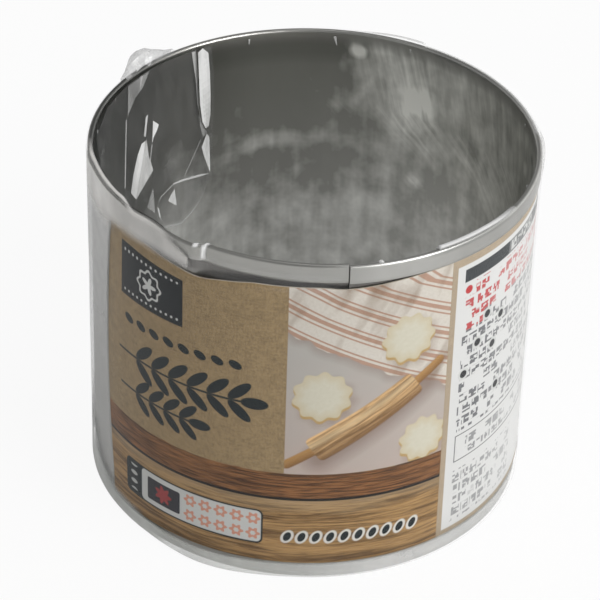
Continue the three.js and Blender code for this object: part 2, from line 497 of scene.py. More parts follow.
def steel_finish():
    """Cold-rolled steel: fine upright grain, soft streaks, painted shade outside and painted glare and shade
    inside the ring.
    """
    steel = settings().steel
    finish = Finish("rolled steel")
    place = finish.place()
    x, y, z = finish.parts(place)
    across = x / MM
    height = z / MM
    inside = finish.attribute(BORE)
    hem = finish.attribute(HEM)
    upright = finish.node("ShaderNodeMapping", sockets={"Vector": place, "Scale": (1, 1, 0.14)})
    streak = finish.grain(upright, 260, 3)
    brushed = finish.grain(upright, 620, 2)
    fine = finish.grain(upright, 1500, 2)
    patch = finish.grain(place, 75, 3, 0.6)
    speckle = finish.grain(place, 210, 3, 0.6)
    dullness = finish.ramp(streak * 0.35 + patch * 0.65, 0.35, 0.65)

    # Outside, painted shade: darker to the left, and on the hem a dark left, a grey middle and a grey
    # shoulder.
    tone = finish.mix(tuple(steel.metal), tuple(steel.dull), dullness)
    tone = finish.mix(tone, linear(152, 151, 146), finish.ramp(across, 9, -6) * 0.42)
    tone = finish.mix(tone, linear(70, 72, 70), hem * finish.ramp(across, -17, -24) * 0.75)
    near_seam = finish.ramp(abs(across - 2), 8, 2) * 0.35
    greyer = finish.most(finish.band(across, 15, 23, 27, 29) * 0.28, near_seam)
    tone = finish.mix(tone, linear(150, 150, 146), hem * greyer)
    # The grey shoulder dims the lamp's highlight on the fold.
    shoulder = hem * finish.ramp(height, 49.2, 49.6) * finish.band(across, 14, 17, 24, 27)
    tone = finish.mix(tone, linear(150, 150, 147), shoulder * 0.7)
    # Painted shade on the wall under the hem.
    under_hem = (1 - hem) * finish.ramp(height, 44.5, 46.5)
    tone = finish.mix(tone, linear(86, 83, 80), under_hem * 0.8)

    # Inside: painted shade high up and at the far left, under painted glare that is paler low down.
    low = finish.ramp(height, 47.0, 17.0)
    cloud = finish.ramp(streak * 0.3 + patch * 0.4 + speckle * 0.3, 0.38, 0.66) - 0.43
    exact = finish.math("ARCTAN2", x, y) * math.degrees(1)
    bearing = exact + (patch - 0.5) * 9.0
    glare = bore_glare(finish, exact, bearing, height + (patch - 0.5) * 4.0, cloud * (0.35 + low * 0.5))
    glare = glare + 0.05 + low * 0.20 + (brushed - 0.5) * 0.7 + (speckle - 0.5) * 0.8
    far_left = finish.ramp(bearing, -44.0, -62.0)
    tone = finish.mix(tone, tuple(steel.shade), inside * (0.85 - low * 0.55))
    tone = finish.mix(tone, linear(112, 116, 115), inside * far_left * 0.7)
    tone = finish.mix(tone, tuple(steel.bright), finish.ramp(glare, 0.0, 1.25) * inside)

    shader = finish.principled(
        base_color=tone,
        metallic=1.0,
        roughness=steel.roughness - 0.08 + dullness * 0.12 + fine * 0.06,
        normal=finish.bump(streak * 0.8 + fine * 0.08, 0.14, 0.12 * MM),
    )
    return finish.close(shader)


def steel_edge_finish():
    """Sheared edge of the steel, brighter and rougher than its faces."""
    finish = Finish("sheared steel edge")
    tear = finish.grain(finish.place(), 3200, 3)
    tone = finish.mix(linear(150, 150, 146), linear(196, 196, 192), tear)
    return finish.close(finish.principled(base_color=tone, metallic=1.0, roughness=0.3 + tear * 0.25))


# Places on the print, in mm from the lower left corner of its map: left, low, right, high.
BADGE = (1.8, 34.5, 13.5, 42.1)
BADGE_CENTRE = (7.65, 38.3)
WOOD_TOP = 14.9
PLANK_LINE = 10.7
PICTURE = (27.9, WOOD_TOP, 49.7, 44.4)
DARK_BLOCK = (2.7, 2.75, 25.3, 8.45)
WHITE_BOX = (6.2, 3.0, 25.05, 8.2)
FLOWER_SQUARE = (7.4, 3.75, 13.2, 7.4)
WHITE_PANEL = (50.6, 0.75, 107.6, 43.3)
DARK_BAR = (51.9, 40.6, 104.0, 42.6)
RULED_BOX = (52.0, 11.6, 104.6, 16.0)
# Biscuits of the picture: mm right of its left edge, mm above its foot, radius in mm, degrees turned.
BISCUITS = ((15.8, 20.2, 3.5, 0.0), (4.6, 12.6, 3.7, 14.0), (18.6, 3.4, 3.3, 25.0))
# Bullets of the white panel: their centres.
BULLETS = ((56.7, 33.6), (59.9, 31.9), (55.0, 29.9), (58.3, 28.0), (52.7, 25.9), (59.9, 20.5))


class Ink:
    """Marks of a print, as masks from the flat map's millimetres."""

    SOFT = 0.06  # Half the width over which the ink fades at an edge.

    def __init__(self, finish, u, v):
        self.finish = finish
        self.u = u
        self.v = v

    def moved(self, u, v, degrees=0.0):
        """The same marks about another point, turned."""
        across = self.u - u
        up = self.v - v
        if not degrees:
            return Ink(self.finish, across, up)
        cosine = math.cos(math.radians(degrees))
        sine = math.sin(math.radians(degrees))
        return Ink(self.finish, across * cosine + up * sine, up * cosine - across * sine)

    def repeated(self, pitch):
        """The same marks once in every pitch along u, about its middle."""
        return Ink(self.finish, self.finish.math("FLOORED_MODULO", self.u, pitch) - pitch / 2, self.v)

    def cover(self, distance, soft=SOFT):
        """1 where the distance is negative, with a soft edge."""
        return self.finish.ramp(distance, soft, -soft)

    def box(self, left, low, right, high, corner=0.0, soft=SOFT):
        """Rectangle with round corners."""
        across = abs(self.u - (left + right) / 2) - ((right - left) / 2 - corner)
        up = abs(self.v - (low + high) / 2) - ((high - low) / 2 - corner)
        if not corner:
            return self.cover(self.finish.most(across, up), soft)
        past = self.radius_of(self.finish.most(across, 0.0), self.finish.most(up, 0.0))
        return self.cover(past - corner, soft)

    def radius_of(self, across, up):
        return self.finish.math("SQRT", across * across + up * up)

    def disc(self, u, v, radius, soft=SOFT):
        return self.cover(self.radius_of(self.u - u, self.v - v) - radius, soft)

    def oval(self, u, v, half_width, half_height, soft=SOFT):
        wide = (self.u - u) * (half_height / half_width)
        return self.cover(self.radius_of(wide, self.v - v) - half_height, soft)

    def flower(self, radius, petals, depth, soft=SOFT):
        """Round with a scalloped edge, about the origin."""
        angle = self.finish.math("ARCTAN2", self.v, self.u)
        wave = self.finish.math("COSINE", angle * petals) * depth
        return self.cover(self.radius_of(self.u, self.v) - wave - radius, soft)

    def capsule(self, half_length, radius, soft=SOFT):
        """Bar with round ends along u, about the origin."""
        past = self.finish.most(abs(self.u) - half_length, 0.0)
        return self.cover(self.radius_of(past, self.v) - radius, soft)

    def ear_of_wheat(self, span, pitch):
        """Stalk with paired grains along u, from the origin."""
        finish = self.finish
        aside = abs(self.v)
        shifted = self.u - aside * 0.8
        along = finish.math("FLOORED_MODULO", shifted, pitch) - pitch / 2
        grain = self.radius_of(along * 1.45, aside - pitch * 0.53) - pitch * 0.5
        past_ends = finish.most(shifted - span, -shifted)
        grains = self.cover(finish.most(grain, past_ends), 0.07)
        stalk = self.box(-pitch * 0.9, -0.16, span + pitch * 0.3, 0.16)
        tip = self.oval(span + pitch * 0.6, 0.0, pitch * 0.62, pitch * 0.3)
        return finish.most(finish.most(grains, stalk), tip)


def wood_tone(finish, ink, base, seed, paler=1.62, hair=0.12):
    """Plank with long grain, fine hairs, pale and dark streaks and a few pores."""
    drift = finish.grain(finish.vector(ink.u * 0.05, ink.v * 0.22, seed + 4.0), 1.0, 3)
    lines = finish.grain(finish.vector(ink.u * 0.11, ink.v * 2.6 + drift * 6.0, seed + 9.0), 1.0, 4, 0.7)
    pores = finish.grain(finish.vector(ink.u * 0.6, ink.v * 8.0, seed + 2.0), 1.0, 2)
    hairs = finish.grain(finish.vector(ink.u * 0.3, ink.v * 5.5, seed + 6.0), 1.0, 1)
    broad = finish.grain(finish.vector(ink.u * 0.10, ink.v * 1.5, seed), 0.5, 2)
    pale = tuple(min(1.0, channel * paler) for channel in base)
    dark = tuple(channel * share_left for channel, share_left in zip(base, (0.46, 0.40, 0.34)))
    streaks = lines * 0.5 + broad * (0.5 - hair) + hairs * hair
    tone = finish.mix(dark, pale, finish.ramp(streaks, 0.43, 0.56))
    return finish.mix(tone, dark, finish.ramp(pores, 0.56, 0.72) * 0.75)


def kraft_tone(finish, ink, base):
    """Brown paper with fibres and specks."""
    flat = finish.vector(ink.u, ink.v)
    cloud = finish.grain(flat, 0.6, 4, 0.6)
    fibre = finish.grain(finish.vector(ink.u * 4.2, ink.v * 1.1, 3.0), 1.0, 3, 0.6)
    cross = finish.grain(finish.vector(ink.u * 0.9, ink.v * 3.6, 8.0), 1.0, 2)
    grit = finish.grain(flat, 3.1, 2, 0.7)
    light = tuple(channel * 1.34 for channel in base)
    dark = tuple(channel * 0.70 for channel in base)
    pulp = cloud * 0.25 + fibre * 0.3 + cross * 0.2 + grit * 0.25
    tone = finish.mix(dark, light, finish.ramp(pulp, 0.38, 0.62))
    return finish.mix(tone, dark, finish.ramp(grit, 0.64, 0.74) * 0.6)


def linen_tone(finish, cloth):
    """Linen with pairs of brown stripes along u and soft folds."""
    pair = abs(finish.math("FLOORED_MODULO", cloth.v, 3.4) - 1.7)
    stripe = finish.most(finish.ramp(pair, 0.34, 0.24), finish.ramp(abs(pair - 0.75), 0.16, 0.08))
    thread = finish.grain(finish.vector(cloth.u * 3.0, cloth.v * 3.0, 2.0), 1.0, 2)
    fold = finish.grain(finish.vector(cloth.u * 0.34, cloth.v * 0.10, 1.0), 1.0, 2)
    tone = finish.mix(linear(190, 182, 170), linear(212, 207, 198), thread)
    tone = finish.mix(tone, linear(160, 112, 84), stripe * 0.75)
    return finish.mix(tone, linear(124, 100, 78), finish.ramp(fold, 0.5, 0.72) * 0.65)


def with_biscuit(finish, ink, cream, tone, u, v, radius, spin):
    """Tone with a scalloped biscuit and its shadow laid on it."""
    scallops = 10
    shadow = ink.moved(u + 0.5, v - 0.9).flower(radius, scallops, 0.22, 0.9)
    tone = finish.mix(tone, linear(140, 120, 106), shadow * 0.6)
    side = ink.moved(u, v - 0.42, spin).flower(radius, scallops, 0.26, 0.1)
    tone = finish.mix(tone, linear(176, 148, 98), side)
    top = ink.moved(u, v, spin)
    crumb = finish.grain(finish.vector(ink.u, ink.v, u), 2.4, 3)
    face = finish.mix(cream, linear(206, 202, 186), crumb)
    rim = 1 - top.flower(radius - 0.75, scallops, 0.2, 0.8)
    face = finish.mix(face, linear(186, 166, 122), rim * 0.5)
    return finish.mix(tone, face, top.flower(radius, scallops, 0.26, 0.1))


def with_rolling_pin(finish, pin, tone):
    """Tone with a wooden rolling pin along u and its shadow laid on it."""
    shadow = pin.moved(0.3, -1.5).capsule(8.4, 1.9, 1.2)
    tone = finish.mix(tone, linear(118, 96, 84), shadow * 0.6)
    handle = finish.mix(linear(168, 128, 78), linear(120, 84, 46), finish.ramp(pin.v, 0.4, -0.8))
    tone = finish.mix(tone, handle, pin.capsule(12.2, 0.72, 0.1))
    barrel = wood_tone(finish, pin, linear(178, 146, 104), 6.0)
    barrel = finish.mix(barrel, linear(112, 80, 48), finish.ramp(pin.v, 0.2, -2.2))
    barrel = finish.mix(barrel, linear(214, 190, 150), finish.ramp(abs(pin.v - 0.8), 0.8, 0.0) * 0.6)
    return finish.mix(tone, barrel, pin.box(-8.2, -2.05, 8.2, 2.05, 0.7, 0.1))


def picture_tone(finish, ink, label):
    """Printed picture of baking things on a pale table."""
    left, low, _, high = PICTURE
    haze = finish.grain(finish.vector(ink.u, ink.v, 2.0), 0.22, 3)
    rosy = finish.ramp(ink.v + haze * 14.0, high - 4.0, low + 4.0) * 0.55
    tone = finish.mix(tuple(label.table), tuple(label.rose), rosy)
    cloth = ink.moved(left, high - 1.0, -28.0)
    edge = cloth.v + finish.grain(finish.vector(cloth.u * 0.3, 0.0, 5.0), 1.0, 1) * 2.4
    tone = finish.mix(tone, linear(128, 108, 96), finish.ramp(edge, -5.6, -4.0) * 0.5)
    tone = finish.mix(tone, linen_tone(finish, cloth), finish.ramp(edge, -4.2, -4.0))
    for along, up, radius, spin in BISCUITS:
        tone = with_biscuit(finish, ink, tuple(label.biscuit), tone, left + along, low + up, radius, spin)
    return with_rolling_pin(finish, ink.moved(left + 10.4, low + 8.4, 34.0), tone)


def greeked(finish, ink, pitch, seed):
    """Rows of random strokes that look like small print from afar and are none."""
    row = finish.math("FLOOR", ink.v / pitch)
    inside_row = finish.math("FRACT", ink.v / pitch)
    along = (ink.u + finish.chance(finish.vector(row, seed, 0.0)) * 6.0) / (pitch * 0.94)
    cell = finish.math("FLOOR", along)
    inside_cell = finish.math("FRACT", along)

    def strokes(across, up, offset):
        column = finish.math("FLOOR", along * across)
        level = row * 9.0 + finish.math("FLOOR", inside_row * up)
        return finish.ramp(finish.chance(finish.vector(column, level, seed + offset)), 0.60, 0.64)

    drawn = finish.most(strokes(2.0, 7.0, 1.0), strokes(6.0, 2.0, 2.0))
    line = finish.ramp(abs(inside_row - 0.5), 0.40, 0.34)
    gap = finish.ramp(abs(inside_cell - 0.5), 0.44, 0.38)
    filled = finish.ramp(finish.chance(finish.vector(cell, row, seed + 3.0)), 0.10, 0.12)
    return drawn * line * gap * filled


def print_finish():
    """Card print: kraft and wooden panels, a picture, ornaments and a white panel."""
    label = settings().label
    finish = Finish("printed card")
    u, v, _ = finish.parts(finish.node("ShaderNodeUVMap", {"uv_map": FLAT_MAP}))
    ink = Ink(finish, u, v)
    paler_strip = finish.ramp(u, PICTURE[2], PICTURE[2] + 0.1) * 0.55
    tone = kraft_tone(finish, ink, tuple(label.kraft))
    tone = finish.mix(tone, linear(176, 164, 148), paler_strip)
    tone = finish.mix(tone, tuple(label.badge), ink.box(*BADGE, 0.12))
    tone = finish.mix(tone, tuple(label.paper), badge_marks(ink))
    tone = finish.mix(tone, tuple(label.ink), ornament_marks(ink))
    tone = with_planks(finish, ink, label, tone)
    tone = finish.mix(tone, picture_tone(finish, ink, label), ink.box(*PICTURE, 0.0, 0.05))
    tone = with_white_box(finish, ink, label, tone)
    tone = with_beads(finish, ink, label, tone)
    tone = with_white_panel(finish, ink, label, tone)
    fibre = finish.grain(finish.vector(u * 1.4, v * 3.0, 0.0), 1.0, 3)
    shader = finish.principled(
        base_color=tone,
        roughness=0.42 + fibre * 0.14,
        specular_ior_level=0.3,
        normal=finish.bump(fibre, 0.12, 0.05 * MM),
    )
    return finish.close(shader)


def with_planks(finish, ink, label, tone):
    """Tone with two worn planks along the label's foot, up to a ragged edge."""
    u = ink.u
    v = ink.v
    upper = wood_tone(finish, ink, tuple(label.dark_wood), 1.0, 2.1, 0.4)
    lower = wood_tone(finish, ink, tuple(label.light_wood), 12.0)
    worn = finish.grain(finish.vector(u * 0.12, v * 0.5, 7.0), 1.0, 3)
    lower = finish.mix(lower, linear(164, 146, 118), finish.ramp(v + worn * 3.0, 9.6, 12.4) * 0.55)
    wood = finish.mix(lower, upper, finish.ramp(v, PLANK_LINE - 0.05, PLANK_LINE + 0.05))
    worn_edge = finish.ramp(v, WOOD_TOP - 0.9, WOOD_TOP - 0.1) * finish.ramp(worn, 0.42, 0.55)
    wood = finish.mix(wood, linear(54, 38, 26), worn_edge * 0.7)
    wood = finish.mix(wood, linear(22, 20, 18), ink.cover(abs(v - PLANK_LINE) - 0.22))
    ragged = finish.grain(finish.vector(u * 0.35, 0.0, 4.0), 1.0, 4) * 0.7
    below_top = finish.ramp(v + ragged, WOOD_TOP + 0.4, WOOD_TOP + 0.3)
    return finish.mix(tone, wood, below_top * finish.ramp(u, PICTURE[2] + 0.05, PICTURE[2] - 0.05))


def with_white_box(finish, ink, label, tone):
    """Tone with a dark block of pale seeds that runs into a white box with a flower and rounds."""
    paper = tuple(label.paper)
    tone = finish.mix(tone, tuple(label.ink), ink.box(*DARK_BLOCK, 0.9))
    tone = finish.mix(tone, paper, ink.box(*WHITE_BOX, 0.7))
    seeds = Ink(finish, ink.u - 4.5, finish.math("FLOORED_MODULO", ink.v, 1.4) - 0.7)
    tone = finish.mix(tone, paper, seeds.oval(0.0, 0.0, 0.72, 0.34) * ink.box(3.0, 3.5, 6.0, 7.7) * 0.8)
    tone = finish.mix(tone, linear(44, 44, 50), ink.box(*FLOWER_SQUARE, 0.3))
    tone = finish.mix(tone, linear(150, 58, 58), ink.moved(10.3, 5.58).flower(1.2, 7, 0.3))
    return finish.mix(tone, linear(200, 124, 90), box_marks(ink) * 0.8)


def with_beads(finish, ink, label, tone):
    """Tone with a row of slanted dark beads, rimmed pale, on the lower plank."""
    row = ink.moved(27.6, 4.4)
    bead = Ink(finish, row.repeated(1.9).u - row.v * 0.25, row.v)
    within_row = row.box(0.0, -2.0, 19.0, 2.0)
    tone = finish.mix(tone, linear(206, 204, 198), bead.oval(0.0, 0.0, 0.84, 1.1, 0.1) * within_row)
    return finish.mix(tone, tuple(label.ink), bead.oval(0.0, 0.0, 0.5, 0.76) * within_row)


def badge_marks(ink):
    """Scalloped round between two dotted rules on the charcoal field."""
    finish = ink.finish
    centre = ink.moved(*BADGE_CENTRE)
    ring = centre.flower(2.15, 8, 0.2) - centre.flower(1.82, 8, 0.18)
    star = centre.flower(0.95, 5, 0.42)
    dots = ink.moved(2.25, BADGE_CENTRE[1]).repeated(0.9)
    rules = ink.cover(ink.radius_of(dots.u, abs(dots.v) - 2.9) - 0.19) * ink.box(2.5, 35.0, 12.8, 42.5)
    return finish.most(finish.most(ring, star), rules)


def ornament_marks(ink):
    """Two ears of wheat under a row of leaves."""
    finish = ink.finish
    first = ink.moved(4.0, 25.6).ear_of_wheat(18.0, 3.0)
    second = ink.moved(4.0, 20.0).ear_of_wheat(10.6, 2.65)
    row = ink.moved(2.4, 31.2)
    leaf = row.repeated(2.5)
    leaves = row.cover(row.radius_of(leaf.u + row.v * 0.4, row.v * 1.25) - 0.85)
    return finish.most(finish.most(first, second), leaves * row.box(0.0, -2.0, 20.0, 2.0))


def box_marks(ink):
    """Two rows of little scalloped rounds in the white box."""
    row = ink.moved(13.7, 5.6)
    centred = Ink(ink.finish, row.repeated(2.28).u, abs(row.v) - 1.25)
    rounds = centred.flower(0.84, 6, 0.18) - centred.flower(0.36, 6, 0.05)
    return rounds * row.box(0.0, -2.4, 11.4, 2.4)


def with_white_panel(finish, ink, label, tone):
    """Tone with a white panel: a dark bar, rows of red and grey strokes, bullets and a ruled box."""
    paper = tuple(label.paper)
    red = tuple(label.red)
    dark = linear(52, 56, 58)
    grey = linear(96, 97, 100)
    tone = finish.mix(tone, linear(208, 208, 206), ink.box(*WHITE_PANEL, 0.0, 0.05))

    bar_left, bar_low, bar_right, bar_high = DARK_BAR
    paler_from = 61.0
    tone = finish.mix(tone, dark, ink.box(bar_left, bar_low, paler_from, bar_high))
    tone = finish.mix(tone, dark, ink.box(paler_from, bar_low, bar_right, bar_high) * 0.75)
    heading = greeked(finish, ink.moved(0.0, bar_low), 2.0, 5.0)
    tone = finish.mix(tone, paper, heading * ink.box(paler_from + 0.4, bar_low, bar_right - 0.4, bar_high))

    strokes = greeked(finish, ink.moved(0.0, 0.35), 1.88, 2.0) * finish.ramp(ink.u, 57.0, 67.0, 1.0, 0.5)
    after_bullet = ink.box(56.0, 32.0, 105.0, 34.7)
    red_rows = finish.most(ink.box(54.0, 38.3, 105.0, 40.2), ink.box(52.0, 32.9, 105.0, 38.3))
    red_rows = finish.least(red_rows, 1 - after_bullet)
    tone = finish.mix(tone, red, strokes * red_rows * 0.95)
    grey_rows = finish.most(ink.box(52.0, 16.6, 105.0, 32.9), after_bullet)
    grey_rows = finish.most(grey_rows, ink.box(52.0, 1.6, 66.0, 10.2) * 0.7)
    tone = finish.mix(tone, grey, strokes * grey_rows * 0.95)

    left, low, right, high = RULED_BOX
    line = 0.16
    hollow = ink.box(left + line, low + line, right - line, high - line, 0.1)
    tone = finish.mix(tone, linear(92, 93, 95), ink.box(*RULED_BOX, 0.1) - hollow)
    tone = finish.mix(tone, grey, strokes * ink.box(54.0, 12.2, 100.0, 15.6) * 0.72)

    tone = finish.mix(tone, red, ink.disc(52.7, 39.3, 0.62))
    for u, v in BULLETS:
        tone = finish.mix(tone, paper, ink.disc(u, v, 0.95))
        tone = finish.mix(tone, linear(38, 38, 40), ink.disc(u, v, 0.58))
    return tone


def card_edge_finish():
    """Cut edge of the card: pale fibres."""
    finish = Finish("card edge")
    fibre = finish.grain(finish.place(), 2600, 3)
    tone = finish.mix(linear(150, 138, 120), linear(198, 190, 176), fibre)
    return finish.close(finish.principled(base_color=tone, roughness=0.8 + fibre * 0.1))


def film_finish(name, gloss, tint, smoke=0.0, bare=1.0):
    """Clear film: see-through, glossy and milky where its haze attribute says so; painted shade greys its
    lower left foot.

    smoke is how much light it takes away, and bare the share of its gloss where it has no haze.
    """
    finish = Finish(name)
    place = finish.place()
    x, _, z = finish.parts(place)
    crinkle = finish.grain(place, 420, 3)
    milky = finish.attribute(HAZE)
    # Painted shade: the film is greyer low down at the lower left, where it gathers at the foot.
    gathered = finish.ramp(z, 5 * MM, 2 * MM) * finish.ramp(x, 12 * MM, -4 * MM)
    body = finish.principled(
        base_color=finish.mix(tint, linear(212, 214, 210), gathered),
        roughness=0.25 + crinkle * 0.10,
        normal=finish.bump(crinkle, 0.10, 0.2 * MM),
    )
    passed = 1 - smoke
    clear = finish.node("ShaderNodeBsdfTransparent", sockets={"Color": (passed, passed, passed, 1)})
    cloudy = finish.least(milky * (0.8 + crinkle * 0.4), 1.0)
    seen = finish.node("ShaderNodeMixShader", sockets={0: cloudy, 1: clear, 2: body})
    sheen = finish.node("ShaderNodeBsdfGlossy", sockets={"Color": (1, 1, 1, 1), "Roughness": 0.14})
    slant = finish.node("ShaderNodeLayerWeight", sockets={"Blend": 0.5}, output="Facing")
    gloss_here = finish.ramp(milky, 0.0, 0.3, bare * gloss, gloss)
    mirror = (finish.math("POWER", slant, 4.0) * 0.9 + 0.04) * gloss_here
    return finish.close(finish.node("ShaderNodeMixShader", sockets={0: mirror, 1: seen, 2: sheen}))


def pinch_finish(tint):
    """Film creased so sharply that it looks white: painted glints along the rim."""
    finish = Finish("pinched film")
    crease = finish.grain(finish.place(), 1800, 2)
    tone = finish.mix(tuple(channel * 0.7 for channel in tint), tint, crease)
    shader = finish.principled(base_color=tone, roughness=0.2 + crease * 0.15, alpha=0.55 + crease * 0.4)
    return finish.close(shader)


def eased(low, high, value):
    """0 at low and 1 at high, eased between. low may be the larger."""
    share_done = min(max((value - low) / (high - low), 0.0), 1.0)
    return share_done * share_done * (3 - 2 * share_done)


def within(value, start, full, ebb, end):
    """1 from full to ebb, eased down to 0 at start and end."""
    return eased(start, full, value) * eased(end, ebb, value)


def bell(value, place, reach):
    """1 at a place, falling off softly on both sides."""
    return math.exp(-(((value - place) / reach) ** 2))


def angle_of(point):
    """Angle of a point round the axis, from the front towards +X."""
    return math.atan2(point.x, -point.y)


def bore_radius():
    """Radius of the ring's inner wall."""
    steel = settings().steel
    return HEM_RADIUS - 2 * steel.sheet - steel.fold_gap


def card_radius():
    """Radius of the middle of the card."""
    steel = settings().steel
    label = settings().label
    wall = HEM_RADIUS - steel.sheet - steel.fold_gap
    return wall + label.clearance + label.card / 2


def bowed(height):
    """Share of the card's bow at a height in mm above its foot: none halfway up, all at the corners."""
    halfway = 24
    reach = 21
    return min(((height - halfway) / reach) ** 2, 1.0)


def dented(angle):
    """Share of the dent at an angle: it grows leftwards from the seam, ends, and comes back flatter."""
    steel = settings().steel
    past_seam = (angle - steel.seam + 1e-6) % (2 * math.pi)
    back = 2 * math.pi - past_seam
    from_seam = steel.seam - steel.dent_place
    if past_seam < math.pi:
        return 0.0
    if back < from_seam:
        return steel.seam_step + (1 - steel.seam_step) * eased(0.0, from_seam, back)
    flat = 0.8 * bell(back, steel.seam - steel.flat_place, steel.flat_reach)
    return max(eased(from_seam + steel.dent_reach, from_seam, back), flat)


def push_in(piece, from_height=0.3):
    """Pushes the dent into a piece, from a share of the ring's height more and more towards the rim."""
    dent = settings().steel.dent
    for vert in piece.data.vertices:
        push = dent * dented(angle_of(vert.co)) * eased(from_height, 1.0, vert.co.z / RING_HEIGHT)
        vert.co.xy -= vert.co.xy.normalized() * push


class PASTRY_OT_steel_ring(bpy.types.Operator):
    """Folds and rolls the steel strip into the hemmed ring"""

    bl_idname = "pastry_ring.steel_ring"
    bl_label = "Steel Ring"

    COLUMNS = 480
    WALL_ROWS = 24
    FOLD_ROWS = 12
    HEM_ROWS = 4

    def execute(self, context):
        steel = settings().steel
        half = steel.sheet / 2
        fold_radius = (steel.sheet + steel.fold_gap) / 2
        radius = HEM_RADIUS - half - 2 * fold_radius
        fold_height = RING_HEIGHT - fold_radius - half
        folded = fold_height + math.pi * fold_radius
        wall = spaced(0.0, fold_height, self.WALL_ROWS)
        rows = wall + spaced(fold_height, folded, self.FOLD_ROWS)[1:]
        rows += spaced(folded, folded + fold_height - RING_HEIGHT + steel.hem, self.HEM_ROWS)[1:]
        gap = steel.seam_width / 2
        around = 2 * math.pi * radius

        def fill(work):
            add_sheet(work, spaced(gap, around - gap, self.COLUMNS), rows, (-half, half), steel.edge)
            add_sheet(work, [-gap, gap], wall, (-half, steel.weld - half), steel.edge / 4)
            bore = work.verts.layers.float.new(BORE)
            hem = work.verts.layers.float.new(HEM)
            for vert in work.verts:
                vert[bore] = vert.co.z < 0 and vert.co.y < fold_height
                vert[hem] = vert.co.y > fold_height
                left_of_dent = steel.seam + vert.co.x / radius - 2 * math.pi - steel.dent_place
                narrower = steel.hem_loss * bell(left_of_dent, -steel.dent_reach, steel.dent_reach)
                vert.co.y -= max(vert.co.y - folded, 0.0) * narrower / (rows[-1] - folded)

        ring = rolled(
            "steel_ring",
            flat_mesh("steel_ring", fill),
            radius=radius,
            fold_height=fold_height,
            fold_radius=fold_radius,
            fold_side=1.0,
            start=steel.seam,
            face_finish=steel_finish(),
            edge_finish=steel_edge_finish(),
        )
        push_in(ring)
        finished(ring, "steel", "ring_band")
        return {"FINISHED"}


class PASTRY_OT_card_label(bpy.types.Operator):
    """Wraps the printed card round the ring's wall"""

    bl_idname = "pastry_ring.card_label"
    bl_label = "Card Label"

    COLUMNS = 262
    ROWS = 12
    TOP_ROW = 0.8 * MM
    EDGE = 0.03 * MM

    @staticmethod
    def upper_edge(angle, below_top):
        """How much higher than straight the card's upper part lies, by degrees and mm below its edge."""
        left = 1.15 * eased(-36, -54, angle)
        middle = 0.35 * within(angle, -20, -13, 2, 9)
        sunk = 0.8 * bell(angle, -29, 7)
        under_hem = 0.6 * eased(0.7, 0, below_top) * eased(8, 32, angle)
        return eased(3.5, 0, below_top) * (left + middle - sunk) + under_hem

    def execute(self, context):
        label = settings().label
        half = label.card / 2
        radius = card_radius()
        around = label.span * radius
        tall = label_high.z - label_low.z - label.skew
        columns = spaced(-label.margin, around, self.COLUMNS)
        rows = [*spaced(0.0, tall - self.TOP_ROW, self.ROWS), tall]

        def fill(work):
            add_sheet(work, columns, rows, (-half, half), self.EDGE, label.skew / around)
            for vert in work.verts:
                in_from_edge = (vert.co.x + label.margin) / MM
                angle = math.degrees(label.start + vert.co.x / radius)
                below_top = (tall + label.skew * vert.co.x / around - vert.co.y) / MM
                vert.co.z += label.lift * math.exp(-in_from_edge / 1.6)
                vert.co.x += label.bow * bowed(vert.co.y / MM) * math.exp(-in_from_edge / 3)
                vert.co.y += label_low.z + self.upper_edge(angle, below_top) * MM

        card = rolled(
            "card_label",
            flat_mesh("card_label", fill),
            radius=radius,
            fold_height=RING_HEIGHT,
            fold_radius=MM,
            fold_side=1.0,
            start=label.start,
            face_finish=print_finish(),
            edge_finish=card_edge_finish(),
        )
        finished(card, "card", "label_wrap")
        return {"FINISHED"}


